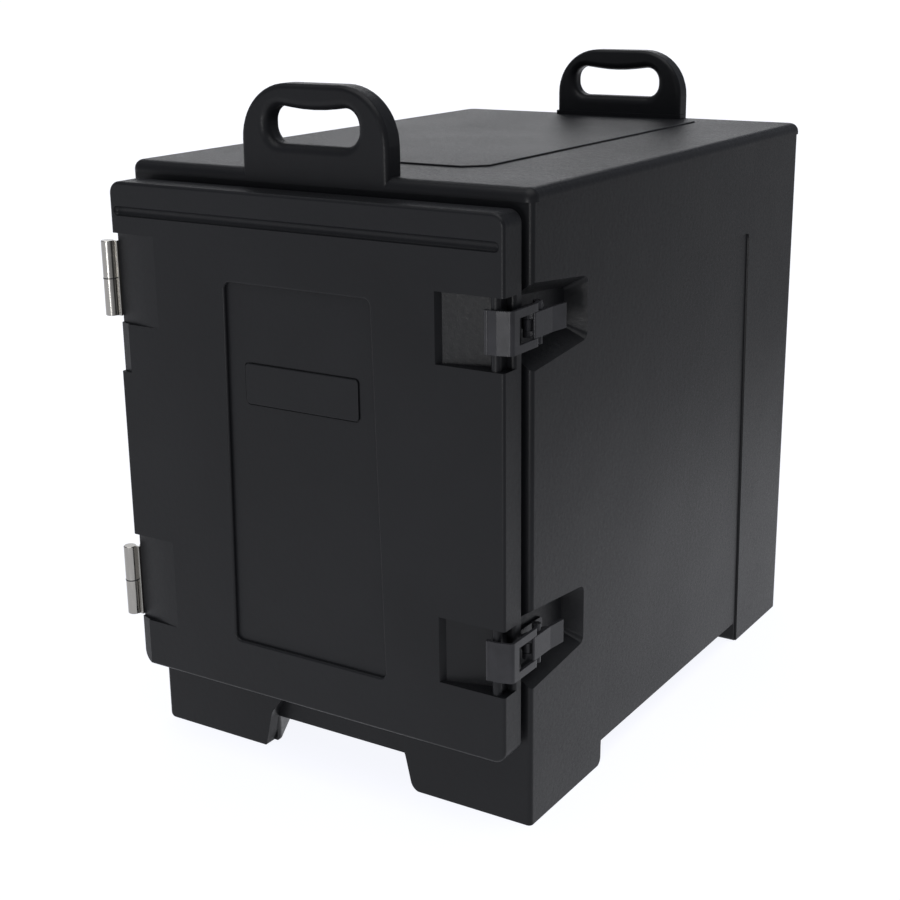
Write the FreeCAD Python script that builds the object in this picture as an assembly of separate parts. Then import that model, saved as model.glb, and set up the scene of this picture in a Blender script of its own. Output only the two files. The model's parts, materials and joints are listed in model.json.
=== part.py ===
import FreeCAD, Part
import math
import os

# Insulated end-loading food pan carrier: a double-walled, foam-filled case and door, lift-off
# hinges on the left and two over-centre draw latches on the right.
#
# Millimetres, +Z up. Everything is laid out from the plane of the case's front face (y = 0, the
# door at y < 0, the cavity at y > 0), the case's middle plane (x = 0) and a height datum just
# above the floor, which is at FLOOR_Z.
# The files are written with the origin at the middle of the whole footprint, on the floor.

V = FreeCAD.Vector

# ---- case ---------------------------------------------------------------------------------
CASE_HALF_W = 223.5        # side walls
CASE_DEPTH = 626.0         # front face to rear face
CASE_TOP = 592.0
FRONT_CORNER_R = 4.5
REAR_CORNER_R = 14.0
FLOOR_Z = -4.0
FLOOR_EDGE_R = 1.0
HINGE_SIDE_SKID_R = 10.0   # rounding under the wall on the hinge side
RIM_BOTTOM = 580.0         # parting line under the rounded top rim
RIM_OUT = 1.5              # how far the rim stands out from the walls
RIM_EDGE_R = 9.5
RIM_CORNER_R = 9.5
SKIN = 4.0                 # moulded skin of the case

FOOT_SIDE_GAP = 20.0       # height of the side gap between front and rear feet
FOOT_MID_GAP = 25.0        # height of the hollow between the left and right feet
FOOT_FRONT_LEN = 142.0
FOOT_REAR_START = 490.0
FOOT_ROUND = 9.0
ARCH_HALF_FLOOR = 91.0     # arch between the feet in the front and rear walls, on the floor
ARCH_FLOOR_R = (3.0, 12.0) # its rounding on the hinge side and on the latch side
ARCH_HALF_MID = 82.0
ARCH_HALF_TOP = 66.0
ARCH_SHOULDER = 36.0
ARCH_TOP = 56.0
ARCH_DEPTH = 15.0
HOLLOW_HALF_END = 88.0     # half-width of the hollow just behind each arch
HOLLOW_HALF_MID = 148.0    # and along the middle, where the feet have narrowed
HOLLOW_END_LEN = 21.0

SIDE_PANEL_DEPTH = 2.0
SIDE_PANEL_DRAFT = 0.7
SIDE_PANEL_TOP = 485.0

PLATEAU_HALF_W = 115.0     # raised field on top
PLATEAU_RISE = 1.6
PLATEAU_FRONT = 92.0
PLATEAU_REAR = 576.0
PLATEAU_CHAMFER = 20.0

# ---- cavity -------------------------------------------------------------------------------
CAVITY_HALF_W = 168.0
CAVITY_DEPTH = 562.0
CAVITY_BOTTOM = 112.0
CAVITY_TOP = 541.0
CAVITY_CORNER_R = 22.0
MOUTH_R = 6.0
RAIL_COUNT = 9
RAIL_FIRST = 190.0
RAIL_PITCH = 40.0
RAIL_OUT = 13.0
RAIL_TIP = 7.0
RAIL_ROOT = 15.0
RAIL_FRONT = 26.0

# ---- moulded handles ----------------------------------------------------------------------
HANDLE_HALF_W = 81.5
HANDLE_TOP = 670.0
HANDLE_THICK = 24.5
HANDLE_CORNER_R = 52.0
HANDLE_EDGE_R = 5.0
GRIP_LOW = 616.0
GRIP_HIGH = 651.5
GRIP_END_R = 15.0
GRIP_SWELL = 6.5           # the grip is this much thicker in the middle
GRIP_SWELL_R = 200.0
GRIP_EDGE_R = 8.5
FRONT_HANDLE = {"middle": -3.5, "grip_middle": -4.9, "grip_half": 50.5}
REAR_HANDLE = {"middle": -0.5, "grip_middle": -4.3, "grip_half": 55.5}
LEDGE_RISE = 4.5           # step the rear handle stands on
LEDGE_OUT = 1.5

# ---- door ---------------------------------------------------------------------------------
DOOR_HALF_W = 219.0
DOOR_BOTTOM = 77.0
DOOR_TOP = 576.0
DOOR_FRONT = -40.0
DOOR_BACK = -9.0
DOOR_CORNER_R = 12.0
DOOR_EDGE_R = 3.0
DOOR_SKIN = 4.0
LAND_INSET = 11.0          # step round the back of the door
LAND_BACK = -3.0
PLUG_HALF_W = 157.0        # shallow boss that enters the cavity mouth
PLUG_BOTTOM = 124.0
PLUG_TOP = 529.0
PLUG_BACK = 8.0

PANEL_DEPTH = 4.0
PANEL_TOP = 491.0
PANEL_BOTTOM = 131.0
PANEL_HALF_TOP = 82.0
PANEL_HALF_BOTTOM = 89.5
PANEL_EDGE_R = 2.2
PLATE_MIDDLE = 1.3         # raised blank nameplate in a narrow groove
PLATE_HALF_W = 64.5
PLATE_BOTTOM = 377.0
PLATE_TOP = 416.0
PLATE_RISE = 1.6
PLATE_GROOVE_W = 1.2
PLATE_GROOVE_DEPTH = 1.0

FLUTE_Z = 548.0            # half-round flute across the top of the door
FLUTE_HALF_LEN = 214.5
FLUTE_R = 5.0
FLUTE_DEPTH = 3.4

SEAL_HALF_W = 188.0        # centre line of the door seal
SEAL_BOTTOM = 96.0
SEAL_TOP = 557.0
SEAL_CORNER_R = 20.0
SEAL_W = 7.0
SEAL_GROOVE = 4.0
SEAL_FACE = -0.3

# ---- hinges -------------------------------------------------------------------------------
HINGE_X = -230.0
HINGE_Y = -35.0
HINGE_Z = (165.0, 480.5)
HINGE_H = 74.0
BARREL_R = 6.5
HINGE_PIN_R = 3.0
LEAF_T = 2.0
RUN_GAP = 0.05             # radial clearance of every turning fit
WASHER_T = 1.0
SCOOPS = ((126.5, 218.5), (437.5, 526.5))
SCOOP_R = 250.0            # the scoops are cut to this curve
SCOOP_AXIS_X = -153.8
SCOOP_AXIS_IN = 0.3        # the curve's crest stands this far out of the door's face
SCOOP_DEPTH = 10.0
RELIEFS = ((70.0, 126.5), (389.0, 437.5))
RELIEF_INNER_X = -205.6
RELIEF_STEP = 1.5
RELIEF_DEPTH = 6.0         # sloping, deepest at the door's edge
HINGE_SCREW_R = 2.2
HINGE_SCREW_HEAD_R = 3.9
HINGE_SCREW_LEN = 18.0

# ---- latches ------------------------------------------------------------------------------
LATCH_Z = (175.0, 473.5)
HOOK_RISE = 2.5            # the latch sits this far above the middle of its pocket
RECESS_FLOOR_X = 203.5
RECESS_LEN = 101.0
RECESS_HALF_FRONT = 39.0
RECESS_HALF_REAR = 29.0
RECESS_SLOPE_FRONT = 13.0  # run of the sloping walls
RECESS_SLOPE_SIDE = 11.0
RECESS_SLOPE_REAR = 8.0
POCKET_INNER_X = 150.0
POCKET_HALF = 32.0
POCKET_SLOPE = 4.0         # run of the pocket's inner wall
POCKET_SHALLOW = 6.0
POCKET_DEEP = 19.5
POCKET_EDGE_DEPTH = 17.5
POCKET_EDGE_R = 3.5
KEEPER_X = 208.0
KEEPER_Y = -34.0
KEEPER_R = 4.5
PIVOT_X = 217.5            # lever pivot in the base lug
PIVOT_Y = 2.5
LINK_X = 220.0             # hook pivot on the lever
LINK_Y = 15.0
EYE_R = 4.5
LATCH_PIN_R = 2.0
LUG_HALF_H = 4.7
LEVER_HALF_H = 11.2
WINDOW_HALF_H = 11.7
HOOK_HALF_H = 19.0
HOOK_T = 3.0
LEVER_T = 3.0
LEVER_HEEL = 3.0           # how far the lever reaches in front of its pivot
LEVER_FACE_X = 226.5       # outer face of the closed lever and hook arms
LEVER_END_Y = 51.5
BASE_T = 3.0
BASE_HALF_H = 10.0
BASE_END_Y = 50.0
LATCH_SCREW_R = 2.0
LATCH_SCREW_HEAD_R = 3.6
LATCH_SCREW_LEN = 16.0

# ---- foam filling -------------------------------------------------------------------------
FILL_HOLE_R = 12.0
FILL_CAP_R = 17.0
FILL_CAP_T = 2.0
CASE_FILL_Y = (160.0, 470.0)
DOOR_FILL_R = 9.0
DOOR_FILL_CAP_R = 13.0
DOOR_FILL_Z = 320.0

# whole footprint: barrel front to rim back
FOOTPRINT_MID_Y = (HINGE_Y - BARREL_R + CASE_DEPTH + RIM_OUT) / 2


# ---- drawing helpers ----------------------------------------------------------------------
PLANES = {
    "xy": lambda u, v, w: V(u, v, w),
    "xz": lambda u, v, w: V(u, w, v),
    "yz": lambda u, v, w: V(w, u, v),
}


def outline_wire(corners, plane, level):
    """Closed wire through corners (u, v, radius), each rounded to its own radius."""
    flat = [V(u, v, 0) for u, v, r in corners]
    count = len(corners)
    entries = []
    for i in range(count):
        here = flat[i]
        radius = corners[i][2]
        if radius == 0:
            entries.append((here, None, here))
            continue
        back = (flat[i - 1] - here).normalize()
        ahead = (flat[(i + 1) % count] - here).normalize()
        half = back.getAngle(ahead) / 2
        reach = radius / math.tan(half)
        middle = (back + ahead).normalize()
        crown = here + middle * (radius / math.sin(half) - radius)
        entries.append((here + back * reach, crown, here + ahead * reach))
    place = PLANES[plane]
    edges = []
    for i in range(count):
        start, crown, end = [p and place(p.x, p.y, level) for p in entries[i]]
        if crown:
            edges.append(Part.Arc(start, crown, end).toShape())
        after = entries[(i + 1) % count][0]
        after = place(after.x, after.y, level)
        if end.distanceToPoint(after) > 1e-6:
            edges.append(Part.makeLine(end, after))
    return Part.Wire(edges)


def prism(corners, plane, low, high):
    """Solid swept from one level to another, square to its outline's plane."""
    face = Part.Face(outline_wire(corners, plane, low))
    return face.extrude(PLANES[plane](0, 0, high - low))


def loft(corners_a, level_a, corners_b, level_b, plane):
    wires = [outline_wire(corners_a, plane, level_a), outline_wire(corners_b, plane, level_b)]
    return Part.makeLoft(wires, True, True)


def rect(u0, u1, v0, v1, radius):
    return [(u0, v0, radius), (u1, v0, radius), (u1, v1, radius), (u0, v1, radius)]


def box(x0, x1, y0, y1, z0, z1):
    return Part.makeBox(x1 - x0, y1 - y0, z1 - z0, V(x0, y0, z0))


def rod(radius, start, end):
    span = end - start
    return Part.makeCylinder(radius, span.Length, start, span)


def fuse(shapes):
    return shapes[0].multiFuse(shapes[1:]).removeSplitter()


def cut(shape, tools):
    return shape.cut(Part.makeCompound(tools))


def edges_where(shape, test):
    return [e for e in shape.Edges if test(e.BoundBox)]


def mirrored(shape):
    return shape.mirror(V(0, 0, 0), V(1, 0, 0))


def export(name, shapes):
    shape = shapes[0] if len(shapes) == 1 else Part.makeCompound(shapes)
    shape = shape.copy()
    shape.translate(V(0, -FOOTPRINT_MID_Y, -FLOOR_Z))
    for solid in shape.Solids:
        if not solid.isValid():
            raise ValueError(name + " is not a valid solid")
    shape.exportStep("parts/" + name + ".step")
    print(name, len(shape.Solids), round(shape.Volume / 1000, 2), "cm3")


# ---- screws -------------------------------------------------------------------------------
def countersunk(at, into, length, shank_r, head_r):
    """Countersunk screw with a cross recess; its head is flush with the point given."""
    head_t = head_r - shank_r
    screw = fuse([
        Part.makeCone(head_r, shank_r, head_t, at, into),
        Part.makeCylinder(shank_r, length, at, into),
    ])
    across = into.cross(V(0, 0, 1))
    slot_l = 1.1 * head_r
    slot_w = 0.28 * head_r
    for along, side in ((across, V(0, 0, 1)), (V(0, 0, 1), across)):
        corner = at - along * (slot_l / 2) - side * (slot_w / 2)
        slot = Part.Face(Part.makePolygon([
            corner,
            corner + along * slot_l,
            corner + along * slot_l + side * slot_w,
            corner + side * slot_w,
            corner,
        ])).extrude(into * (head_t * 0.8))
        screw = screw.cut(slot)
    return screw


def screw_room(at, into, length, shank_r, head_r):
    """The same screw without its drive, for cutting its hole."""
    return fuse([
        Part.makeCone(head_r, shank_r, head_r - shank_r, at, into),
        Part.makeCylinder(shank_r, length, at, into),
    ])


# ---- case ---------------------------------------------------------------------------------
def case_block():
    walls = prism([
        (-CASE_HALF_W, 0, FRONT_CORNER_R),
        (CASE_HALF_W, 0, FRONT_CORNER_R),
        (CASE_HALF_W, CASE_DEPTH, REAR_CORNER_R),
        (-CASE_HALF_W, CASE_DEPTH, REAR_CORNER_R),
    ], "xy", FLOOR_Z, RIM_BOTTOM + 1)
    walls = walls.makeFillet(FLOOR_EDGE_R, edges_where(walls, lambda b: b.ZMax < FLOOR_Z + 0.1))
    skid_x = -CASE_HALF_W + HINGE_SIDE_SKID_R
    skid_z = FLOOR_Z + HINGE_SIDE_SKID_R
    skid = box(-CASE_HALF_W - 1, skid_x, -5, CASE_DEPTH + 5, FLOOR_Z - 1, skid_z)
    skid = skid.cut(rod(HINGE_SIDE_SKID_R, V(skid_x, -6, skid_z), V(skid_x, CASE_DEPTH + 6, skid_z)))
    walls = walls.cut(skid)
    rim_half = CASE_HALF_W + RIM_OUT
    rim = prism([
        (-rim_half, -RIM_OUT, RIM_CORNER_R),
        (rim_half, -RIM_OUT, RIM_CORNER_R),
        (rim_half, CASE_DEPTH + RIM_OUT, REAR_CORNER_R + RIM_OUT),
        (-rim_half, CASE_DEPTH + RIM_OUT, REAR_CORNER_R + RIM_OUT),
    ], "xy", RIM_BOTTOM, CASE_TOP)
    rim = rim.makeFillet(RIM_EDGE_R, edges_where(rim, lambda b: b.ZMin > CASE_TOP - 0.1))
    plateau = prism([
        (-PLATEAU_HALF_W, PLATEAU_FRONT + PLATEAU_CHAMFER, 4),
        (-PLATEAU_HALF_W + PLATEAU_CHAMFER, PLATEAU_FRONT, 4),
        (PLATEAU_HALF_W - PLATEAU_CHAMFER, PLATEAU_FRONT, 4),
        (PLATEAU_HALF_W, PLATEAU_FRONT + PLATEAU_CHAMFER, 4),
        (PLATEAU_HALF_W, PLATEAU_REAR, 4),
        (-PLATEAU_HALF_W, PLATEAU_REAR, 4),
    ], "xy", CASE_TOP - 5, CASE_TOP + PLATEAU_RISE)
    plateau = plateau.makeFillet(1.2, edges_where(plateau, lambda b: b.ZMin > CASE_TOP + PLATEAU_RISE - 0.1))
    return fuse([walls, rim, plateau])


def foot_channels():
    """Spaces between the four feet: arches front and rear, the hollow between them, side gaps."""
    reach = ARCH_HALF_FLOOR + 20
    under = FLOOR_Z - 5
    outline = [
        (-reach, under, 0),
        (-reach, FLOOR_Z, 0),
        (-ARCH_HALF_FLOOR, FLOOR_Z, ARCH_FLOOR_R[0]),
        (-ARCH_HALF_MID, ARCH_SHOULDER, 25),
        (-ARCH_HALF_TOP, ARCH_TOP, 8),
        (ARCH_HALF_TOP, ARCH_TOP, 8),
        (ARCH_HALF_MID, ARCH_SHOULDER, 25),
        (ARCH_HALF_FLOOR, FLOOR_Z, ARCH_FLOOR_R[1]),
        (reach, FLOOR_Z, 0),
        (reach, under, 0),
    ]
    arches = [
        prism(outline, "xz", -5, ARCH_DEPTH),
        prism(outline, "xz", CASE_DEPTH - ARCH_DEPTH, CASE_DEPTH + 5),
    ]
    front = ARCH_DEPTH - 2
    rear = CASE_DEPTH - front
    side = [
        (HOLLOW_HALF_END, front, 0),
        (HOLLOW_HALF_END, HOLLOW_END_LEN, 12),
        (HOLLOW_HALF_MID, FOOT_FRONT_LEN, 20),
        (HOLLOW_HALF_MID, FOOT_REAR_START, 20),
        (HOLLOW_HALF_END, CASE_DEPTH - HOLLOW_END_LEN, 12),
        (HOLLOW_HALF_END, rear, 0),
    ]
    hollow = prism(side + [(-x, y, r) for x, y, r in reversed(side)], "xy", under, FOOT_MID_GAP)
    across = prism([
        (FOOT_FRONT_LEN - 2 * FOOT_ROUND, under, 0),
        (FOOT_FRONT_LEN - 2 * FOOT_ROUND, FLOOR_Z, 0),
        (FOOT_FRONT_LEN, FLOOR_Z, FOOT_ROUND),
        (FOOT_FRONT_LEN, FOOT_SIDE_GAP, 3),
        (FOOT_REAR_START, FOOT_SIDE_GAP, 3),
        (FOOT_REAR_START, FLOOR_Z, 5),
        (FOOT_REAR_START + FOOT_ROUND, FLOOR_Z, 0),
        (FOOT_REAR_START + FOOT_ROUND, under, 0),
    ], "yz", -CASE_HALF_W - 5, CASE_HALF_W + 5)
    return arches + [hollow, across]


def side_panels():
    """Shallow sunk panel in each side wall, running down into the gap between the feet."""
    def outline(grow):
        return [
            (FOOT_FRONT_LEN - grow, FLOOR_Z - 5, 0),
            (FOOT_FRONT_LEN + 14 - grow, SIDE_PANEL_TOP + grow, 6 + grow),
            (FOOT_REAR_START - 8 + grow, SIDE_PANEL_TOP + grow, 6 + grow),
            (FOOT_REAR_START + 5 + grow, FLOOR_Z - 5, 0),
        ]

    right = loft(outline(0), CASE_HALF_W - SIDE_PANEL_DEPTH, outline(SIDE_PANEL_DRAFT), CASE_HALF_W + 1, "yz")
    return [right, mirrored(right)]


def handle(front_y, back_y, place):
    """Moulded grip standing on the top, with a hand opening."""
    left = place["middle"] - HANDLE_HALF_W
    right = place["middle"] + HANDLE_HALF_W
    body = prism([
        (left, RIM_BOTTOM + 2, 0),
        (left, HANDLE_TOP, HANDLE_CORNER_R),
        (right, HANDLE_TOP, HANDLE_CORNER_R),
        (right, RIM_BOTTOM + 2, 0),
    ], "xz", front_y, back_y)

    def outer_edge(b):
        flat = b.YMax - b.YMin < 1e-3
        return flat and b.ZMax > CASE_TOP and (b.ZMin > RIM_BOTTOM + 3 or b.ZMax - b.ZMin > 20)

    body = body.makeFillet(HANDLE_EDGE_R, edges_where(body, outer_edge))
    grip_left = place["grip_middle"] - place["grip_half"]
    grip_right = place["grip_middle"] + place["grip_half"]
    opening = prism([
        (grip_left, GRIP_LOW, GRIP_END_R),
        (grip_right, GRIP_LOW, GRIP_END_R),
        (grip_right, GRIP_HIGH, GRIP_END_R),
        (place["grip_middle"], GRIP_HIGH - GRIP_SWELL, GRIP_SWELL_R),
        (grip_left, GRIP_HIGH, GRIP_END_R),
    ], "xz", front_y - 1, back_y + 1)
    body = body.cut(opening)

    def grip_edge(b):
        flat = b.YMax - b.YMin < 1e-3
        across = b.XMin > grip_left - 0.1 and b.XMax < grip_right + 0.1
        return flat and across and b.ZMin > GRIP_LOW - 0.1 and b.ZMax < GRIP_HIGH + 0.1

    return body.makeFillet(GRIP_EDGE_R, edges_where(body, grip_edge))


def handles():
    back = CASE_DEPTH + RIM_OUT
    left = REAR_HANDLE["middle"] - HANDLE_HALF_W - LEDGE_OUT
    right = REAR_HANDLE["middle"] + HANDLE_HALF_W + LEDGE_OUT
    ledge = prism(
        rect(left, right, back - HANDLE_THICK - LEDGE_OUT, back - RIM_EDGE_R, 3),
        "xy", CASE_TOP - 5, CASE_TOP + LEDGE_RISE)
    front = handle(-RIM_OUT, HANDLE_THICK - RIM_OUT, FRONT_HANDLE)
    return [front, handle(back - HANDLE_THICK, back, REAR_HANDLE), ledge]


def latch_recess(z):
    """Tapered pocket in the right wall, open at the front."""
    clear = 3.0
    over = clear / (CASE_HALF_W - RECESS_FLOOR_X)
    front_low = RECESS_HALF_FRONT - RECESS_SLOPE_FRONT
    rear_low = RECESS_HALF_REAR - RECESS_SLOPE_SIDE
    rear_end = RECESS_LEN - RECESS_SLOPE_REAR
    front_high = RECESS_HALF_FRONT + 1 + over * RECESS_SLOPE_FRONT
    rear_high = RECESS_HALF_REAR + over * RECESS_SLOPE_SIDE
    rear_top = RECESS_LEN + over * RECESS_SLOPE_REAR
    floor = [(-8, -front_low, 0), (rear_end, -rear_low, 4), (rear_end, rear_low, 4), (-8, front_low, 0)]
    mouth = [(-8, -front_high, 0), (rear_top, -rear_high, 8), (rear_top, rear_high, 8), (-8, front_high, 0)]
    shape = loft(floor, RECESS_FLOOR_X, mouth, CASE_HALF_W + clear, "yz")
    shape.translate(V(0, 0, z))
    return shape


def cavity():
    hollow = prism(
        rect(-CAVITY_HALF_W, CAVITY_HALF_W, CAVITY_BOTTOM, CAVITY_TOP, CAVITY_CORNER_R),
        "xz", 0, CAVITY_DEPTH)
    hollow = hollow.makeFillet(12, edges_where(hollow, lambda b: b.YMin > CAVITY_DEPTH - 0.1))
    rails = []
    for i in range(RAIL_COUNT):
        top = RAIL_FIRST + i * RAIL_PITCH
        rail = prism([
            (CAVITY_HALF_W + 5, top, 0),
            (CAVITY_HALF_W + 5, top - RAIL_ROOT, 0),
            (CAVITY_HALF_W - RAIL_OUT, top - RAIL_TIP, 2.5),
            (CAVITY_HALF_W - RAIL_OUT, top, 2.5),
        ], "xz", RAIL_FRONT, CAVITY_DEPTH + 5)
        rails += [rail, mirrored(rail)]
    return hollow, rails


def case_foam():
    low = FOOT_MID_GAP + SKIN
    side = CASE_HALF_W - SIDE_PANEL_DEPTH - SKIN
    core = prism(rect(-side, side, SKIN, CASE_DEPTH - SKIN, 10), "xy", low, CASE_TOP - SKIN)
    feet = []
    narrow = HOLLOW_HALF_MID + SKIN + 2
    wide = ARCH_HALF_FLOOR + SKIN + 4
    for end, middle in ((SKIN, FOOT_FRONT_LEN - SKIN), (CASE_DEPTH - SKIN, FOOT_REAR_START + SKIN)):
        foot = prism([
            (wide, end, 0),
            (side, end, 10),
            (side, middle, 6),
            (narrow, middle, 6),
        ], "xy", SKIN, low + 5)
        feet += [foot, mirrored(foot)]
    hollow = prism(
        rect(-CAVITY_HALF_W - SKIN, CAVITY_HALF_W + SKIN, CAVITY_BOTTOM - SKIN, CAVITY_TOP + SKIN,
             CAVITY_CORNER_R + SKIN),
        "xz", 0, CAVITY_DEPTH + SKIN)
    arch_half = ARCH_HALF_MID + SKIN + 2
    arch_high = ARCH_TOP + SKIN
    arch_in = ARCH_DEPTH + SKIN
    rooms = [
        hollow,
        box(-arch_half, arch_half, 0, arch_in, 0, arch_high),
        box(-arch_half, arch_half, CASE_DEPTH - arch_in, CASE_DEPTH, 0, arch_high),
    ]
    for z in LATCH_Z:
        half = RECESS_HALF_FRONT + SKIN
        rooms.append(box(RECESS_FLOOR_X - SKIN, side + 1, 0, RECESS_LEN + SKIN, z - half, z + half))
    return cut(fuse([core] + feet), rooms)


def case_fill_plug(y):
    base = V(0, y, FOOT_MID_GAP - FILL_CAP_T)
    cap = Part.makeCylinder(FILL_CAP_R, FILL_CAP_T, base)
    cap = cap.makeFillet(1, edges_where(cap, lambda b: b.ZMax < FOOT_MID_GAP - FILL_CAP_T + 0.1))
    return fuse([cap, Part.makeCylinder(FILL_HOLE_R, FILL_CAP_T + SKIN, base)])


# ---- door ---------------------------------------------------------------------------------
def panel_outline(grow):
    return [
        (-PANEL_HALF_TOP - grow, PANEL_TOP + grow, 6 + grow),
        (PANEL_HALF_TOP + grow, PANEL_TOP + grow, 6 + grow),
        (PANEL_HALF_BOTTOM + grow, PANEL_BOTTOM - grow, 6 + grow),
        (-PANEL_HALF_BOTTOM - grow, PANEL_BOTTOM - grow, 6 + grow),
    ]


def nameplate_outline(grow, y0, y1):
    left = PLATE_MIDDLE - PLATE_HALF_W - grow
    right = PLATE_MIDDLE + PLATE_HALF_W + grow
    return prism(rect(left, right, PLATE_BOTTOM - grow, PLATE_TOP + grow, 4 + grow), "xz", y0, y1)


def door_block():
    slab = prism(
        rect(-DOOR_HALF_W, DOOR_HALF_W, DOOR_BOTTOM, DOOR_TOP, DOOR_CORNER_R),
        "xz", DOOR_FRONT, DOOR_BACK)
    slab = slab.makeFillet(DOOR_EDGE_R, edges_where(slab, lambda b: b.YMax - b.YMin < 1e-3))
    land = prism(
        rect(-DOOR_HALF_W + LAND_INSET, DOOR_HALF_W - LAND_INSET, DOOR_BOTTOM + LAND_INSET,
             DOOR_TOP - LAND_INSET, DOOR_CORNER_R),
        "xz", DOOR_BACK - 1, LAND_BACK)
    plug = prism(rect(-PLUG_HALF_W, PLUG_HALF_W, PLUG_BOTTOM, PLUG_TOP, 18), "xz", LAND_BACK - 1, PLUG_BACK)
    plug = plug.makeFillet(5, edges_where(plug, lambda b: b.YMin > PLUG_BACK - 0.1))
    return fuse([slab, land, plug])


def front_recess(grow):
    """Recessed panel; grow widens and deepens it by a skin's thickness."""
    tool = prism(panel_outline(grow), "xz", DOOR_FRONT - 5, DOOR_FRONT + PANEL_DEPTH + grow)
    return tool


def flute(grow):
    radius = FLUTE_R + grow
    depth = FLUTE_DEPTH + grow
    y = DOOR_FRONT + depth - radius
    half = FLUTE_HALF_LEN - FLUTE_R
    bar = rod(radius, V(-half, y, FLUTE_Z), V(half, y, FLUTE_Z))
    return fuse([bar, Part.makeSphere(radius, V(-half, y, FLUTE_Z)), Part.makeSphere(radius, V(half, y, FLUTE_Z))])


def hinge_scoop(low, high, grow):
    """Curved hollow cut from the door's hinge edge, deepest at the edge."""
    blank = box(-DOOR_HALF_W - 5, SCOOP_AXIS_X, DOOR_FRONT - 5, DOOR_FRONT + SCOOP_DEPTH + grow,
                low - grow, high + grow)
    axis_y = DOOR_FRONT + SCOOP_R - SCOOP_AXIS_IN
    kept = rod(SCOOP_R - grow, V(SCOOP_AXIS_X, axis_y, low - grow - 1), V(SCOOP_AXIS_X, axis_y, high + grow + 1))
    return blank.cut(kept)


def edge_relief(low, high, grow):
    """Sloping flat on the door's hinge edge beside a scoop."""
    return prism([
        (RELIEF_INNER_X + grow, DOOR_FRONT - 5, 0),
        (RELIEF_INNER_X + grow, DOOR_FRONT + RELIEF_STEP + grow, 0),
        (-DOOR_HALF_W, DOOR_FRONT + RELIEF_DEPTH + grow, 0),
        (-DOOR_HALF_W - 5, DOOR_FRONT + RELIEF_DEPTH + grow, 0),
        (-DOOR_HALF_W - 5, DOOR_FRONT - 5, 0),
    ], "xy", low - grow, high + grow)


def latch_pocket(z, grow):
    """Pocket in the door's free edge, deeper towards the edge, with the keeper bar left standing."""
    outer = DOOR_HALF_W + 5
    inner = POCKET_INNER_X - grow
    edge_y = DOOR_FRONT + POCKET_EDGE_DEPTH + grow
    tool = prism([
        (inner - POCKET_SLOPE, DOOR_FRONT - POCKET_SHALLOW, 0),
        (inner + POCKET_SLOPE, DOOR_FRONT + POCKET_SHALLOW + grow, 0),
        (KEEPER_X - KEEPER_R, DOOR_FRONT + POCKET_DEEP + grow, 0),
        (DOOR_HALF_W, edge_y, POCKET_EDGE_R),
        (DOOR_HALF_W, edge_y + 2 * POCKET_EDGE_R, 0),
        (outer, edge_y + 2 * POCKET_EDGE_R, 0),
        (outer, DOOR_FRONT - POCKET_SHALLOW, 0),
    ], "xy", z - POCKET_HALF - grow, z + POCKET_HALF + grow)
    return tool


def keeper(z):
    bar = rod(KEEPER_R, V(KEEPER_X, KEEPER_Y, z - POCKET_HALF - 1), V(KEEPER_X, KEEPER_Y, z + POCKET_HALF + 1))
    web = box(KEEPER_X - 3, KEEPER_X + 3, KEEPER_Y, DOOR_FRONT + POCKET_DEEP + 3,
              z - POCKET_HALF - 1, z + POCKET_HALF + 1)
    return fuse([bar, web])


def seal_ring(grow, y0, y1):
    """Square ring on the seal's centre line, grow wider on each side than half the seal."""
    half = SEAL_W / 2 + grow
    outer = prism(
        rect(-SEAL_HALF_W - half, SEAL_HALF_W + half, SEAL_BOTTOM - half, SEAL_TOP + half, SEAL_CORNER_R + half),
        "xz", y0, y1)
    inner = prism(
        rect(-SEAL_HALF_W + half, SEAL_HALF_W - half, SEAL_BOTTOM + half, SEAL_TOP - half, SEAL_CORNER_R - half),
        "xz", y0 - 1, y1 + 1)
    return outer.cut(inner)


def door_foam():
    grow = DOOR_SKIN
    front = DOOR_FRONT + grow
    core = prism(
        rect(-DOOR_HALF_W + grow, DOOR_HALF_W - grow, DOOR_BOTTOM + grow, DOOR_TOP - grow, DOOR_CORNER_R - grow),
        "xz", front, DOOR_BACK - grow)
    half = SEAL_W / 2 + grow
    inner = prism(
        rect(-SEAL_HALF_W + half, SEAL_HALF_W - half, SEAL_BOTTOM + half, SEAL_TOP - half, SEAL_CORNER_R - half),
        "xz", front, LAND_BACK - grow)
    plug = prism(
        rect(-PLUG_HALF_W + grow, PLUG_HALF_W - grow, PLUG_BOTTOM + grow, PLUG_TOP - grow, 14),
        "xz", front, PLUG_BACK - grow)
    rooms = [front_recess(grow), flute(grow)]
    rooms += [hinge_scoop(low, high, grow) for low, high in SCOOPS]
    rooms += [edge_relief(low, high, grow) for low, high in RELIEFS]
    rooms += [latch_pocket(z, grow) for z in LATCH_Z]
    return cut(fuse([core, inner, plug]), rooms)


def door_fill_plug():
    y = PLUG_BACK
    cap = Part.makeCylinder(DOOR_FILL_CAP_R, FILL_CAP_T, V(0, y, DOOR_FILL_Z), V(0, 1, 0))
    cap = cap.makeFillet(1, edges_where(cap, lambda b: b.YMin > y + FILL_CAP_T - 0.1))
    shank = Part.makeCylinder(DOOR_FILL_R, DOOR_SKIN + FILL_CAP_T, V(0, y - DOOR_SKIN, DOOR_FILL_Z), V(0, 1, 0))
    return fuse([cap, shank])


def door_seal():
    """Bulb seal: a square root in the door's groove with a rounded face towards the case."""
    root = seal_ring(-0.2, LAND_BACK - SEAL_GROOVE, SEAL_FACE)
    edges = edges_where(root, lambda b: b.YMin > SEAL_FACE - 0.1)
    return root.makeFillet(2.2, edges)


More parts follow.
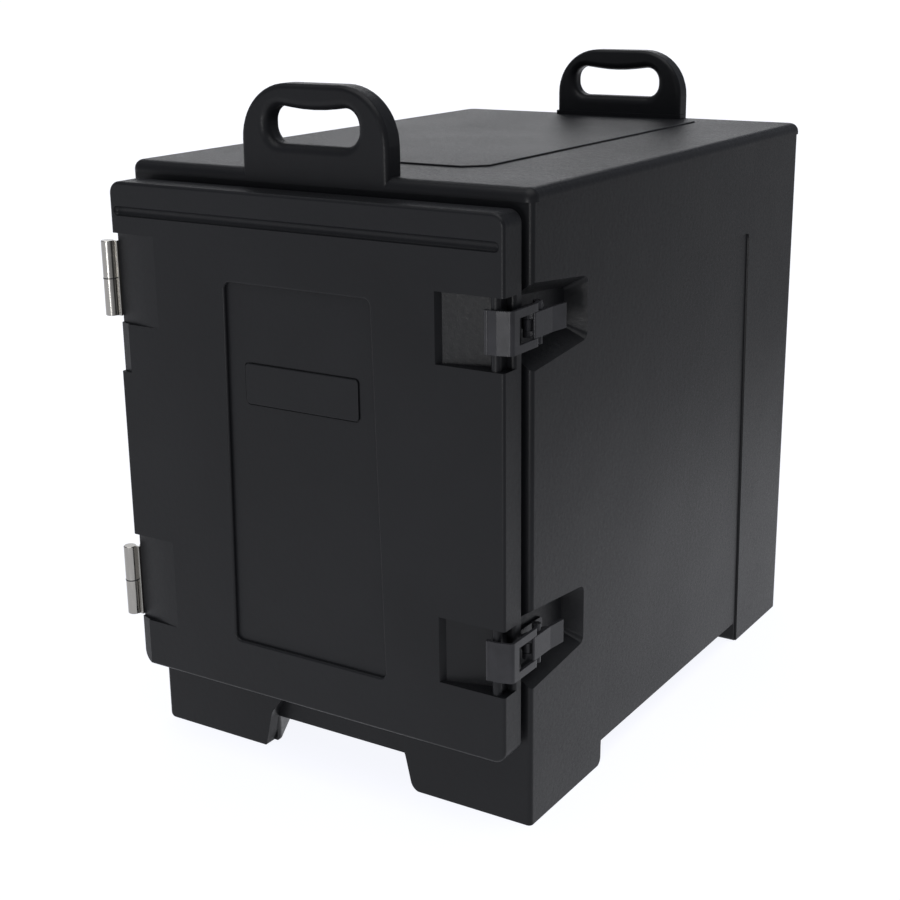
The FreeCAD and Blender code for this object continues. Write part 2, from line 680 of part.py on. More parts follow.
# ---- hinges -------------------------------------------------------------------------------
def hinge_screw_spots(z):
    """Heads and directions of the three screws of each leaf."""
    spots = []
    for offset in (-26.0, 0.0, 26.0):
        spots.append(("case", V(-CASE_HALF_W - LEAF_T, 9, z + offset), V(1, 0, 0)))
        spots.append(("door", V(-DOOR_HALF_W - LEAF_T, -20, z + offset), V(1, 0, 0)))
    return spots


def hinge_case_leaf(z):
    """Leaf on the case's side wall with the lower knuckle."""
    low = z - HINGE_H / 2
    middle = z - WASHER_T / 2
    plate = prism(
        rect(-26, 18, low, low + HINGE_H, 3), "yz", -CASE_HALF_W - LEAF_T, -CASE_HALF_W)
    tongue = box(-CASE_HALF_W - LEAF_T, -CASE_HALF_W, HINGE_Y, -20, low, middle)
    barrel = rod(BARREL_R, V(HINGE_X, HINGE_Y, low), V(HINGE_X, HINGE_Y, middle))
    barrel = barrel.makeChamfer(0.6, edges_where(barrel, lambda b: b.ZMax < low + 0.1))
    leaf = fuse([plate, tongue, barrel])
    holes = [rod(HINGE_PIN_R, V(HINGE_X, HINGE_Y, low - 1), V(HINGE_X, HINGE_Y, middle + 1))]
    return cut(leaf, holes)


def hinge_door_leaf(z):
    """Leaf on the door's edge with the upper knuckle, which lifts off the pin."""
    low = z - HINGE_H / 2
    high = z + HINGE_H / 2
    middle = z + WASHER_T / 2
    edge = -DOOR_HALF_W
    plate = prism(rect(HINGE_Y + 1, -12, low, high, 3), "yz", edge - LEAF_T, edge)
    strip = box(HINGE_X + BARREL_R + 0.6, edge, HINGE_Y + 1, HINGE_Y + 3, low, high)
    tongue = box(HINGE_X, edge, HINGE_Y + 1, HINGE_Y + 3, middle, high)
    barrel = rod(BARREL_R, V(HINGE_X, HINGE_Y, middle), V(HINGE_X, HINGE_Y, high))
    barrel = barrel.makeChamfer(0.6, edges_where(barrel, lambda b: b.ZMin > high - 0.1))
    leaf = fuse([plate, strip, tongue, barrel])
    bore = rod(HINGE_PIN_R + RUN_GAP, V(HINGE_X, HINGE_Y, middle - 1), V(HINGE_X, HINGE_Y, high - 3))
    return cut(leaf, [bore])


def hinge_pin(z):
    low = z - HINGE_H / 2
    pin = rod(HINGE_PIN_R, V(HINGE_X, HINGE_Y, low), V(HINGE_X, HINGE_Y, z + HINGE_H / 2 - 5))
    return pin.makeChamfer(0.8, edges_where(pin, lambda b: b.ZMin > z + HINGE_H / 2 - 5.1))


def hinge_washer(z):
    centre = V(HINGE_X, HINGE_Y, z - WASHER_T / 2)
    ring = Part.makeCylinder(BARREL_R + 0.3, WASHER_T, centre)
    return ring.cut(Part.makeCylinder(HINGE_PIN_R + RUN_GAP, WASHER_T, centre))


# ---- latches ------------------------------------------------------------------------------
def strap(points, thickness):
    """Closed outline of a bent strap: offsets an open path by half the thickness each way."""
    half = thickness / 2
    left = []
    right = []
    count = len(points)
    for i, (x, y) in enumerate(points):
        here = V(x, y, 0)
        before = V(*points[max(i - 1, 0)], 0)
        after = V(*points[min(i + 1, count - 1)], 0)
        arm_in = (here - before).normalize() if i else (after - here).normalize()
        arm_out = (after - here).normalize() if i < count - 1 else arm_in
        bisector = (arm_in + arm_out).normalize()
        normal = V(-bisector.y, bisector.x, 0)
        stretch = half / max(bisector.dot(arm_in), 0.2)
        left.append(here + normal * stretch)
        right.append(here - normal * stretch)
    return left, right


def strap_prism(points, thickness, low, high, bend_r):
    left, right = strap(points, thickness)
    corners = []
    last = len(points) - 1
    for i, p in enumerate(left):
        corners.append((p.x, p.y, 0 if i in (0, last) else bend_r))
    for i, p in reversed(list(enumerate(right))):
        corners.append((p.x, p.y, 0 if i in (0, last) else bend_r + thickness))
    return prism(corners, "xy", low, high)


def latch_screw_spots(z):
    return [V(RECESS_FLOOR_X + BASE_T, y, z) for y in (26.0, 42.0)]


def latch_base(z):
    """Plate on the recess floor with one lug that carries the lever's pivot."""
    face = RECESS_FLOOR_X + BASE_T
    plate = prism(rect(4, BASE_END_Y, z - BASE_HALF_H, z + BASE_HALF_H, 3), "yz", RECESS_FLOOR_X, face)
    lug = prism([
        (face - 1, 17, 0),
        (face - 1, 7.5, 0),
        (PIVOT_X - 0.8 * EYE_R, PIVOT_Y - 1.5, 0),
        (PIVOT_X, PIVOT_Y, 0),
        (PIVOT_X + 0.7 * EYE_R, PIVOT_Y + 0.7 * EYE_R, 0),
    ], "xy", z - LUG_HALF_H, z + LUG_HALF_H)
    eye = rod(EYE_R, V(PIVOT_X, PIVOT_Y, z - LUG_HALF_H), V(PIVOT_X, PIVOT_Y, z + LUG_HALF_H))
    base = fuse([plate, lug, eye])
    return cut(base, [rod(LATCH_PIN_R, V(PIVOT_X, PIVOT_Y, z - 20), V(PIVOT_X, PIVOT_Y, z + 20))])


def latch_lever(z):
    """Finger lever: outer plate, two cheeks on the pivot and link pins, tip turned outwards."""
    face = LEVER_FACE_X
    plate = prism([
        (face - LEVER_T, PIVOT_Y - LEVER_HEEL, 0.8),
        (face, PIVOT_Y - LEVER_HEEL, 1.4),
        (face, 30, 0),
        (face + 2.5, LEVER_END_Y, 1.2),
        (face - 0.5, LEVER_END_Y, 1.2),
        (face - LEVER_T, 30, 0),
    ], "xy", z - LEVER_HALF_H, z + LEVER_HALF_H)
    cheeks = []
    inner = LUG_HALF_H + 0.6
    for low, high in ((z - LEVER_HALF_H, z - inner), (z + inner, z + LEVER_HALF_H)):
        eye = rod(EYE_R, V(PIVOT_X, PIVOT_Y, low), V(PIVOT_X, PIVOT_Y, high))
        link = rod(EYE_R - 0.3, V(LINK_X, LINK_Y, low), V(LINK_X, LINK_Y, high))
        web = prism([
            (PIVOT_X - EYE_R, PIVOT_Y, 0),
            (LINK_X - EYE_R + 0.3, LINK_Y, 0),
            (face - LEVER_T - 2, LINK_Y + 14, 0),
            (face - LEVER_T + 1, LINK_Y + 14, 0),
            (face - 1, PIVOT_Y - 1, 0),
            (PIVOT_X, PIVOT_Y - EYE_R, 0),
        ], "xy", low, high)
        cheeks += [eye, link, web]
    lever = fuse([plate] + cheeks)
    holes = [
        rod(LATCH_PIN_R + RUN_GAP, V(PIVOT_X, PIVOT_Y, z - 20), V(PIVOT_X, PIVOT_Y, z + 20)),
        rod(LATCH_PIN_R, V(LINK_X, LINK_Y, z - 20), V(LINK_X, LINK_Y, z + 20)),
    ]
    return cut(lever, holes)


def latch_hook(z):
    """Draw hook: front plate over the door's keeper, folded back into two arms on the link pin."""
    low = z - HOOK_HALF_H
    high = z + HOOK_HALF_H
    path = [(202.8, -40.6), (212.0, -40.6), (225.0, -37.0), (225.0, 4.0), (LINK_X, LINK_Y)]
    plate = strap_prism(path, HOOK_T, low, high, 1.5)
    roll = rod(2.7, V(202.6, -40.1, low), V(202.6, -40.1, high))
    eye = rod(EYE_R - 0.3, V(LINK_X, LINK_Y, low), V(LINK_X, LINK_Y, high))
    hook = fuse([plate, roll, eye])
    window = box(LINK_X - 12, LEVER_FACE_X + 5, -27, LINK_Y + 12, z - WINDOW_HALF_H, z + WINDOW_HALF_H)
    hook = hook.cut(window)
    hole = rod(LATCH_PIN_R + RUN_GAP, V(LINK_X, LINK_Y, z - 30), V(LINK_X, LINK_Y, z + 30))
    return cut(hook, [hole])


def pivot_pin(z):
    return rod(LATCH_PIN_R, V(PIVOT_X, PIVOT_Y, z - LEVER_HALF_H + 0.4), V(PIVOT_X, PIVOT_Y, z + LEVER_HALF_H - 0.4))


def link_pin(z):
    """Headless pin through the lever's cheeks and both hook arms."""
    reach = HOOK_HALF_H - 0.4
    return rod(LATCH_PIN_R, V(LINK_X, LINK_Y, z - reach), V(LINK_X, LINK_Y, z + reach))


# ---- build --------------------------------------------------------------------------------
def build():
    hinge_screws = {"case": [], "door": []}
    hinge_rooms = {"case": [], "door": []}
    for z in HINGE_Z:
        for side, at, into in hinge_screw_spots(z):
            length = HINGE_SCREW_LEN if side == "case" else 14.0
            hinge_screws[side].append(countersunk(at, into, length, HINGE_SCREW_R, HINGE_SCREW_HEAD_R))
            hinge_rooms[side].append(screw_room(at, into, length, HINGE_SCREW_R, HINGE_SCREW_HEAD_R))
    latch_z = [z + HOOK_RISE for z in LATCH_Z]
    latch_screws = []
    latch_rooms = []
    for z in latch_z:
        for at in latch_screw_spots(z):
            latch_screws.append(countersunk(at, V(-1, 0, 0), LATCH_SCREW_LEN, LATCH_SCREW_R, LATCH_SCREW_HEAD_R))
            latch_rooms.append(screw_room(at, V(-1, 0, 0), LATCH_SCREW_LEN, LATCH_SCREW_R, LATCH_SCREW_HEAD_R))

    case_plugs = [case_fill_plug(y) for y in CASE_FILL_Y]
    foam_room = case_foam()
    hollow, rails = cavity()
    solid_case = fuse([case_block()] + handles())
    tools = foot_channels() + side_panels() + [latch_recess(z) for z in LATCH_Z] + [hollow]
    solid_case = cut(solid_case, tools)

    def mouth_edge(b):
        return abs(b.YMin) + abs(b.YMax) < 1e-3 and b.XMax < CAVITY_HALF_W + 1 and b.XMin > -CAVITY_HALF_W - 1 \
            and b.ZMin > CAVITY_BOTTOM - 1 and b.ZMax < CAVITY_TOP + 1

    solid_case = solid_case.makeFillet(MOUTH_R, edges_where(solid_case, mouth_edge))
    solid_case = fuse([solid_case] + [r.common(hollow) for r in rails])
    shell = cut(solid_case, [foam_room] + case_plugs + hinge_rooms["case"] + latch_rooms)
    export("case_shell", [shell])
    export("case_foam", [cut(foam_room, hinge_rooms["case"] + latch_rooms)])
    export("case_fill_plugs", case_plugs)

    door_plug = door_fill_plug()
    door_room = door_foam()
    door = door_block()
    cuts = [front_recess(0), flute(0), seal_ring(0, LAND_BACK - SEAL_GROOVE, LAND_BACK + 1)]
    cuts += [hinge_scoop(low, high, 0) for low, high in SCOOPS]
    cuts += [edge_relief(low, high, 0) for low, high in RELIEFS]
    cuts += [latch_pocket(z, 0) for z in LATCH_Z]
    door = cut(door, cuts)

    def panel_rim(b):
        at_front = abs(b.YMax - DOOR_FRONT) < 1e-3 and abs(b.YMin - DOOR_FRONT) < 1e-3
        inside = abs(b.XMin) < PANEL_HALF_BOTTOM + 1 and abs(b.XMax) < PANEL_HALF_BOTTOM + 1
        return at_front and inside and b.ZMax < PANEL_TOP + 1 and b.ZMin > PANEL_BOTTOM - 1

    door = door.makeFillet(PANEL_EDGE_R, edges_where(door, panel_rim))
    floor_y = DOOR_FRONT + PANEL_DEPTH
    door = door.cut(nameplate_outline(PLATE_GROOVE_W, floor_y - 1, floor_y + PLATE_GROOVE_DEPTH))
    plate = nameplate_outline(0, floor_y - PLATE_RISE, floor_y + PLATE_GROOVE_DEPTH + 1)
    plate = plate.makeFillet(0.8, edges_where(plate, lambda b: b.YMax < DOOR_FRONT + PANEL_DEPTH - PLATE_RISE + 0.1))
    door = fuse([door, plate] + [keeper(z) for z in LATCH_Z])
    export("door_shell", [cut(door, [door_room, door_plug] + hinge_rooms["door"])])
    export("door_foam", [cut(door_room, hinge_rooms["door"])])
    export("door_fill_plug", [door_plug])
    export("door_seal", [door_seal()])

    names = ("lower", "upper")
    for name, z in zip(names, HINGE_Z):
        export(name + "_hinge_case_leaf", [cut(hinge_case_leaf(z), hinge_rooms["case"])])
        export(name + "_hinge_door_leaf", [cut(hinge_door_leaf(z), hinge_rooms["door"])])
        export(name + "_hinge_pin", [hinge_pin(z)])
    export("hinge_washers", [hinge_washer(z) for z in HINGE_Z])
    export("hinge_case_screws", hinge_screws["case"])
    export("hinge_door_screws", hinge_screws["door"])

    for name, z in zip(names, latch_z):
        rooms = [screw_room(at, V(-1, 0, 0), LATCH_SCREW_LEN, LATCH_SCREW_R, LATCH_SCREW_HEAD_R)
                 for at in latch_screw_spots(z)]
        export(name + "_latch_base", [cut(latch_base(z), rooms)])
        export(name + "_latch_lever", [latch_lever(z)])
        export(name + "_latch_hook", [latch_hook(z)])
        export(name + "_latch_pivot_pin", [pivot_pin(z)])
        export(name + "_latch_link_pin", [link_pin(z)])
    export("latch_screws", latch_screws)


os.makedirs("parts", exist_ok=True)
build()
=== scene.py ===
"""Looks for the insulated pan carrier: materials, floor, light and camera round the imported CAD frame."""
import json
import math

import bpy
from mathutils import Matrix, Vector


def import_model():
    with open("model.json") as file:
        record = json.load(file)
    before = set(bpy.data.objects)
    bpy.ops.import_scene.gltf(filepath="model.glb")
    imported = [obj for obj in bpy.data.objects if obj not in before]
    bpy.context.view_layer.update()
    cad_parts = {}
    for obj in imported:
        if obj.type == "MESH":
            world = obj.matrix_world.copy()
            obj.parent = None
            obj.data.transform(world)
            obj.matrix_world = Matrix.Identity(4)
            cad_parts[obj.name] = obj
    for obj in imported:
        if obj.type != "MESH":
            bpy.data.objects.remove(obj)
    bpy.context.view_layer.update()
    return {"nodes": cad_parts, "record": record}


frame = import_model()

NODES = frame["nodes"]

# ---- camera: place in metres ---------------------------------------------------------------
CAMERA_AT = Vector((0.8691, -1.4384, 0.7757))
CAMERA_YAW = math.radians(32.142)
CAMERA_PITCH = math.radians(16.565)
CAMERA_ROLL = math.radians(-0.588)
CAMERA_LENS_MM = 63.26
CAMERA_SENSOR_MM = 36.0
CAMERA_SHIFT = (-0.0109, -0.0184)
CAMERA_NEAR = 0.05

# ---- textures: scales are per metre, bump depths in metres ---------------------------------
NOISE_LOW, NOISE_HIGH = 0.3, 0.7     # most of a noise's values lie between these
EVEN = (1, 1, 1)                     # a texture that isn't stretched along any axis

# ---- moulded polyethylene ------------------------------------------------------------------
PLASTIC_TONE = (0.0082, 0.0085, 0.0096)
CASE_SKIN = {"tone": PLASTIC_TONE, "rough": 0.36, "grain": 0.22, "gloss": 0.15}
DOOR_SKIN = {"tone": PLASTIC_TONE, "rough": 0.36, "grain": 0.20, "gloss": 0.155}
CLOUD_SCALE, CLOUD_DETAIL = 7.0, 3.0
CLOUD_SHARES = ((0.30, 0.86), (0.72, 1.16))      # place on the noise, share of the tone there
CLOUD_ROUGH = 0.03
SPECK_SCALE, SPECK_DETAIL = 420.0, 2.0
SPECK_SMOOTHER, SPECK_ROUGHER = 0.05, 0.06
FINE_SCALE, FINE_DETAIL, FINE_SHARE = 1300.0, 3.0, 0.6
PEEL_SCALE, PEEL_SHARE = 200.0, 0.5
SKIN_DEPTH = 0.0009
TOP_FROM, TOP_FULL = 0.75, 0.98      # how far up a face looks where the stipple starts and is full
TOP_STIPPLE = 15.0
WAVE_SCALE, WAVE_DETAIL = 9.0, 1.0
WAVE_STRENGTH, WAVE_DEPTH = 0.5, 0.0012

# ---- latch nylon ---------------------------------------------------------------------------
NYLON_CLOUD_SCALE = 60.0
NYLON_DARK, NYLON_LIGHT = (0.020, 0.020, 0.022), (0.027, 0.027, 0.030)
NYLON_GLOSS = 0.18
NYLON_GRAIN_SCALE = 1900.0
NYLON_ROUGH = (0.18, 0.28)
NYLON_BUMP = (0.25, 0.0003)

# ---- steel ---------------------------------------------------------------------------------
HINGE_STEEL = {"tone": (0.32, 0.31, 0.29), "rough": 0.18, "along": (1, 1, 0.06)}
SCREW_STEEL = {"tone": (0.30, 0.30, 0.30), "rough": 0.30, "along": EVEN}
BRUSH_SCALE, BRUSH_DETAIL, BRUSH_ROUGH = 900.0, 3.0, 0.06
BRUSH_DARK = 0.88
BRUSH_BUMP = (0.15, 0.0002)
SMUDGE_SCALE = 45.0
SMUDGE_ROUGH = (-0.04, 0.05)

# ---- seal rubber ---------------------------------------------------------------------------
RUBBER_SCALE = 1500.0
RUBBER_DARK, RUBBER_LIGHT = (0.012, 0.012, 0.013), (0.022, 0.022, 0.023)
RUBBER_ROUGH = (0.62, 0.78)
RUBBER_BUMP = (0.3, 0.0003)

# ---- foam ----------------------------------------------------------------------------------
FOAM_SCALE = 800.0
FOAM_STOPS = [(0.1, (0.62, 0.50, 0.28)), (0.8, (0.80, 0.70, 0.46))]
FOAM_ROUGH = 0.9
FOAM_BUMP = (0.6, 0.0006)

# ---- floor ---------------------------------------------------------------------------------
FLOOR_HALF = 60.0
FLOOR_TONE = 0.14
FLOOR_VARY = 0.01
FLOOR_NOISE_SCALE = 3.0
FLOOR_ROUGH = 0.85
FLOOR_GLOSS = 0.2
# painted light: the floor glows with light of its own though it is no lamp, lighting the case and showing
# in its reflections
FLOOR_PAINTED_GLOW = (0.90, 0.91, 0.96)
SHADE_ALONG = (1.0, 0.2886, 0.0)     # the floor's glow dims in this direction, right of the camera's view
SHADE_FROM = 0.52
SHADE_SPAN = 2.4
SHADE_STOPS = ((0.02, 1.0), (0.14, 0.64), (0.25, 0.28), (0.55, 0.40), (0.96, 0.30))

# ---- light ---------------------------------------------------------------------------------
AMBIENT = (0.26, 0.27, 0.30)
BACKDROP = (1, 1, 1)
CEILING_STRENGTH = 2.0
CEILING_SPREAD = math.radians(70)
CEILING_TILT = (math.radians(8), math.radians(6), 0)
SOFTBOXES = (
    {"name": "back_left", "at": (-1.6, 2.2, 1.35), "target": (-0.05, 0.0, 0.55), "size": (2.3, 1.0),
     "power": 7.8},
    {"name": "front_right", "at": (0.55, -2.6, 0.30), "target": (0.2, -0.2, 0.3), "size": (0.45, 0.5),
     "power": 14.0},
)


# ---- node helpers --------------------------------------------------------------------------
class Graph:
    """A material's node tree with short ways to add and link nodes."""

    def __init__(self, name):
        self.material = bpy.data.materials.new(name)
        self.material.use_nodes = True
        self.tree = self.material.node_tree
        self.tree.nodes.clear()
        self.shader = self.add("ShaderNodeBsdfPrincipled")
        out = self.add("ShaderNodeOutputMaterial")
        self.link(self.shader, "BSDF", out, "Surface")
        self.coords = self.add("ShaderNodeTexCoord")

    def add(self, kind, **settings):
        """A new node; a setting that isn't one of its properties goes to the socket of that name."""
        node = self.tree.nodes.new(kind)
        for key, value in settings.items():
            if hasattr(node, key):
                setattr(node, key, value)
            else:
                node.inputs[key.replace("_", " ").title()].default_value = value
        return node

    def link(self, source, output, target, entry):
        self.tree.links.new(source.outputs[output], target.inputs[entry])

    def place(self, stretch):
        mapping = self.add("ShaderNodeMapping")
        mapping.inputs["Scale"].default_value = stretch
        self.link(self.coords, "Object", mapping, "Vector")
        return mapping

    def noise(self, scale, detail=2.0, stretch=EVEN):
        mapping = self.place(stretch)
        node = self.add("ShaderNodeTexNoise", scale=scale, detail=detail)
        self.link(mapping, "Vector", node, "Vector")
        return node

    def cells(self, scale):
        mapping = self.place(EVEN)
        node = self.add("ShaderNodeTexVoronoi", scale=scale, feature="SMOOTH_F1")
        self.link(mapping, "Vector", node, "Vector")
        return node

    def spread(self, source, output, low, high, to_low, to_high):
        node = self.add("ShaderNodeMapRange")
        limits = {"From Min": low, "From Max": high, "To Min": to_low, "To Max": to_high}
        for key, value in limits.items():
            node.inputs[key].default_value = value
        self.link(source, output, node, "Value")
        return node

    def vary(self, noise, to_low, to_high):
        """A value that follows a noise between two limits."""
        return self.spread(noise, "Fac", NOISE_LOW, NOISE_HIGH, to_low, to_high)

    def math(self, operation, a, b):
        node = self.add("ShaderNodeMath", operation=operation)
        for i, value in enumerate((a, b)):
            if isinstance(value, tuple):
                self.tree.links.new(value[0].outputs[value[1]], node.inputs[i])
            else:
                node.inputs[i].default_value = value
        return node

    def tint(self, source, output, stops):
        node = self.add("ShaderNodeValToRGB")
        ramp = node.color_ramp
        while len(ramp.elements) < len(stops):
            ramp.elements.new(0.5)
        for element, (at, colour) in zip(ramp.elements, stops):
            element.position = at
            element.color = (*colour, 1)
        self.link(source, output, node, "Fac")
        return node

    def bump(self, height, output, strength, distance, below=None):
        node = self.add("ShaderNodeBump")
        node.inputs["Strength"].default_value = strength
        node.inputs["Distance"].default_value = distance
        self.link(height, output, node, "Height")
        if below:
            self.link(below, "Normal", node, "Normal")
        return node


# ---- finishes ------------------------------------------------------------------------------
def moulded_plastic(name, tone, rough, grain, gloss):
    """Black polyethylene: orange-peel skin, coarser on faces that look up, faint cloudy sheen."""
    g = Graph(name)
    clouds = g.noise(CLOUD_SCALE, CLOUD_DETAIL)
    specks = g.noise(SPECK_SCALE, SPECK_DETAIL)
    stops = [(at, tuple(c * share for c in tone)) for at, share in CLOUD_SHARES]
    colour = g.tint(clouds, "Fac", stops)
    g.link(colour, "Color", g.shader, "Base Color")
    facing = g.add("ShaderNodeSeparateXYZ")
    g.link(g.coords, "Normal", facing, "Vector")
    upward = g.spread(facing, "Z", TOP_FROM, TOP_FULL, 0.0, 1.0)
    wear = g.vary(specks, rough - SPECK_SMOOTHER, rough + SPECK_ROUGHER)
    cloud_rough = g.vary(clouds, -CLOUD_ROUGH, CLOUD_ROUGH)
    roughness = g.math("ADD", (wear, "Result"), (cloud_rough, "Result"))
    g.link(roughness, "Value", g.shader, "Roughness")
    fine = g.noise(FINE_SCALE, FINE_DETAIL)
    peel = g.cells(PEEL_SCALE)
    waves = g.noise(WAVE_SCALE, WAVE_DETAIL)
    fine_height = g.math("MULTIPLY", (fine, "Fac"), FINE_SHARE)
    peel_height = g.math("MULTIPLY", (peel, "Distance"), PEEL_SHARE)
    height = g.math("ADD", (fine_height, "Value"), (peel_height, "Value"))
    amount = g.spread(upward, "Result", 0.0, 1.0, 1.0, TOP_STIPPLE)
    scaled = g.math("MULTIPLY", (height, "Value"), (amount, "Result"))
    broad = g.bump(waves, "Fac", WAVE_STRENGTH, WAVE_DEPTH)
    relief = g.bump(scaled, "Value", grain, SKIN_DEPTH, broad)
    g.link(relief, "Normal", g.shader, "Normal")
    g.shader.inputs["Specular IOR Level"].default_value = gloss
    return g.material


def latch_plastic():
    g = Graph("nylon")
    clouds = g.noise(NYLON_CLOUD_SCALE)
    colour = g.tint(clouds, "Fac", [(NOISE_LOW, NYLON_DARK), (NOISE_HIGH, NYLON_LIGHT)])
    g.link(colour, "Color", g.shader, "Base Color")
    g.shader.inputs["Specular IOR Level"].default_value = NYLON_GLOSS
    grain = g.noise(NYLON_GRAIN_SCALE)
    rough = g.vary(grain, *NYLON_ROUGH)
    g.link(rough, "Result", g.shader, "Roughness")
    relief = g.bump(grain, "Fac", *NYLON_BUMP)
    g.link(relief, "Normal", g.shader, "Normal")
    return g.material


def steel(name, tone, rough, along):
    """Brushed steel with faint smudges; along stretches the brushing."""
    g = Graph(name)
    g.shader.inputs["Metallic"].default_value = 1.0
    brushing = g.noise(BRUSH_SCALE, BRUSH_DETAIL, along)
    smudge = g.noise(SMUDGE_SCALE)
    dark = tuple(c * BRUSH_DARK for c in tone)
    colour = g.tint(brushing, "Fac", [(NOISE_LOW, dark), (NOISE_HIGH, tone)])
    g.link(colour, "Color", g.shader, "Base Color")
    fine = g.vary(brushing, rough - BRUSH_ROUGH, rough + BRUSH_ROUGH)
    wide = g.vary(smudge, *SMUDGE_ROUGH)
    total = g.math("ADD", (fine, "Result"), (wide, "Result"))
    g.link(total, "Value", g.shader, "Roughness")
    relief = g.bump(brushing, "Fac", *BRUSH_BUMP)
    g.link(relief, "Normal", g.shader, "Normal")
    return g.material


def rubber():
    g = Graph("rubber")
    grain = g.noise(RUBBER_SCALE)
    colour = g.tint(grain, "Fac", [(NOISE_LOW, RUBBER_DARK), (NOISE_HIGH, RUBBER_LIGHT)])
    g.link(colour, "Color", g.shader, "Base Color")
    rough = g.vary(grain, *RUBBER_ROUGH)
    g.link(rough, "Result", g.shader, "Roughness")
    relief = g.bump(grain, "Fac", *RUBBER_BUMP)
    g.link(relief, "Normal", g.shader, "Normal")
    return g.material


def foam():
    g = Graph("foam")
    cells = g.cells(FOAM_SCALE)
    colour = g.tint(cells, "Distance", FOAM_STOPS)
    g.link(colour, "Color", g.shader, "Base Color")
    g.shader.inputs["Roughness"].default_value = FOAM_ROUGH
    relief = g.bump(cells, "Distance", *FOAM_BUMP)
    g.link(relief, "Normal", g.shader, "Normal")
    return g.material


def dress():
    """Gives every CAD node the finish of its material slot; the door's plastic has its own."""
    case = moulded_plastic("case_plastic", **CASE_SKIN)
    door = moulded_plastic("door_plastic", **DOOR_SKIN)
    nylon = latch_plastic()
    hinge = steel("hinge_steel", **HINGE_STEEL)
    screw = steel("screw_steel", **SCREW_STEEL)
    finishes = {
        "moulded_plastic": case, "foam": foam(), "seal_rubber": rubber(), "hinge_steel": hinge,
        "screw_steel": screw, "latch_plastic": nylon,
    }
    slots = {s["node"]: s["material_slot"] for s in frame["record"]["subparts"]}
    for name, obj in NODES.items():
        finish = finishes[slots[name]]
        if name.startswith("door_") and finish is case:
            finish = door
        obj.data.materials.clear()
        obj.data.materials.append(finish)


# ---- stage ---------------------------------------------------------------------------------
def floor():
    """Pale floor with a painted glow of its own, though it is no lamp, which dims as painted shade right
    of the camera's view.
    """
    low, high = -FLOOR_HALF, FLOOR_HALF
    corners = [(low, low, 0), (high, low, 0), (high, high, 0), (low, high, 0)]
    mesh = bpy.data.meshes.new("floor")
    mesh.from_pydata(corners, [], [(0, 1, 2, 3)])
    obj = bpy.data.objects.new("floor", mesh)
    bpy.context.scene.collection.objects.link(obj)
    g = Graph("floor_paper")
    tone = g.noise(FLOOR_NOISE_SCALE)
    darker, lighter = (FLOOR_TONE - FLOOR_VARY,) * 3, (FLOOR_TONE + FLOOR_VARY,) * 3
    colour = g.tint(tone, "Fac", [(NOISE_LOW, darker), (NOISE_HIGH, lighter)])
    g.link(colour, "Color", g.shader, "Base Color")
    g.shader.inputs["Roughness"].default_value = FLOOR_ROUGH
    g.shader.inputs["Specular IOR Level"].default_value = FLOOR_GLOSS
    # painted shade: the floor's painted glow is dimmed along SHADE_ALONG, which darkens what the case
    # reflects
    along = g.add("ShaderNodeVectorMath", operation="DOT_PRODUCT")
    g.link(g.coords, "Object", along, 0)
    along.inputs[1].default_value = SHADE_ALONG
    far = g.spread(along, "Value", SHADE_FROM, SHADE_FROM + SHADE_SPAN, 0.0, 1.0)
    painted_glow = g.tint(far, "Result", [(at, tuple(c * share for c in FLOOR_PAINTED_GLOW)) for at, share in SHADE_STOPS])
    g.link(painted_glow, "Color", g.shader, "Emission Color")
    g.shader.inputs["Emission Strength"].default_value = 1.0
    mesh.materials.append(g.material)


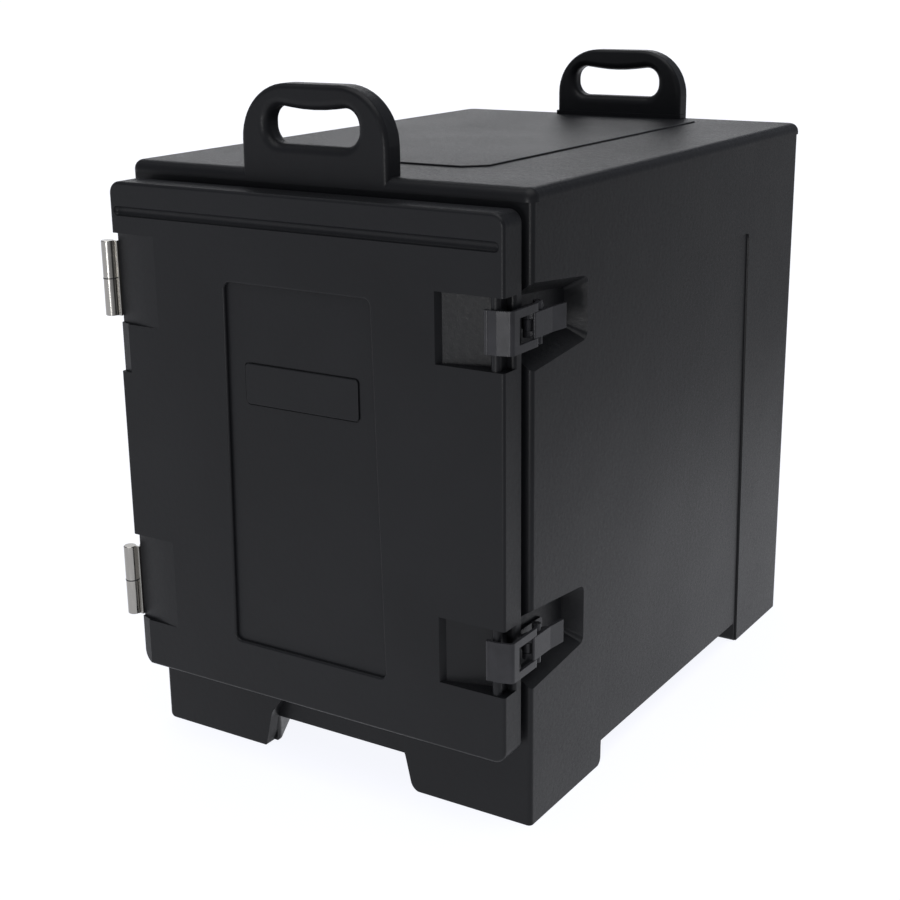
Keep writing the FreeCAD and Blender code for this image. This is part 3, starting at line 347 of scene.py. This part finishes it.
def world():
    """Dim light from all round; a camera ray that meets nothing sees the white backdrop instead."""
    w = bpy.data.worlds.new("studio")
    bpy.context.scene.world = w
    w.use_nodes = True
    tree = w.node_tree
    room = tree.nodes["Background"]
    room.inputs["Color"].default_value = (*AMBIENT, 1)
    room.inputs["Strength"].default_value = 1.0
    paper = tree.nodes.new("ShaderNodeBackground")
    paper.inputs["Color"].default_value = (*BACKDROP, 1)
    seen = tree.nodes.new("ShaderNodeLightPath")
    pick = tree.nodes.new("ShaderNodeMixShader")
    tree.links.new(seen.outputs["Is Camera Ray"], pick.inputs["Fac"])
    tree.links.new(room.outputs["Background"], pick.inputs[1])
    tree.links.new(paper.outputs["Background"], pick.inputs[2])
    tree.links.new(pick.outputs["Shader"], tree.nodes["World Output"].inputs["Surface"])


def ceiling_light():
    """Broad soft light from above."""
    light = bpy.data.lights.new("ceiling", "SUN")
    light.energy = CEILING_STRENGTH
    light.angle = CEILING_SPREAD
    obj = bpy.data.objects.new("ceiling", light)
    obj.rotation_euler = CEILING_TILT
    bpy.context.scene.collection.objects.link(obj)


def softbox(name, at, target, size, power):
    """Rectangular lamp at one point, turned towards another, that the camera doesn't see."""
    light = bpy.data.lights.new(name, "AREA")
    light.shape = "RECTANGLE"
    light.size, light.size_y = size
    light.energy = power
    obj = bpy.data.objects.new(name, light)
    obj.location = at
    obj.rotation_euler = (Vector(target) - Vector(at)).to_track_quat("-Z", "Y").to_euler()
    obj.visible_camera = False
    bpy.context.scene.collection.objects.link(obj)


def camera():
    data = bpy.data.cameras.new("camera")
    data.sensor_width = CAMERA_SENSOR_MM
    data.lens = CAMERA_LENS_MM
    data.shift_x, data.shift_y = CAMERA_SHIFT
    data.clip_start = CAMERA_NEAR
    obj = bpy.data.objects.new("camera", data)
    bpy.context.scene.collection.objects.link(obj)
    back = Vector((
        math.sin(CAMERA_YAW) * math.cos(CAMERA_PITCH),
        -math.cos(CAMERA_YAW) * math.cos(CAMERA_PITCH),
        math.sin(CAMERA_PITCH),
    ))
    level = Vector((0, 0, 1)).cross(back).normalized()
    top = back.cross(level)
    right = level * math.cos(CAMERA_ROLL) + top * math.sin(CAMERA_ROLL)
    up = back.cross(right)
    turn = Matrix((right, up, back)).transposed().to_4x4()
    obj.matrix_world = Matrix.Translation(CAMERA_AT) @ turn
    bpy.context.scene.camera = obj


dress()
floor()
world()
ceiling_light()
for box in SOFTBOXES:
    softbox(**box)
camera()
bpy.context.scene.view_settings.view_transform = "Standard"
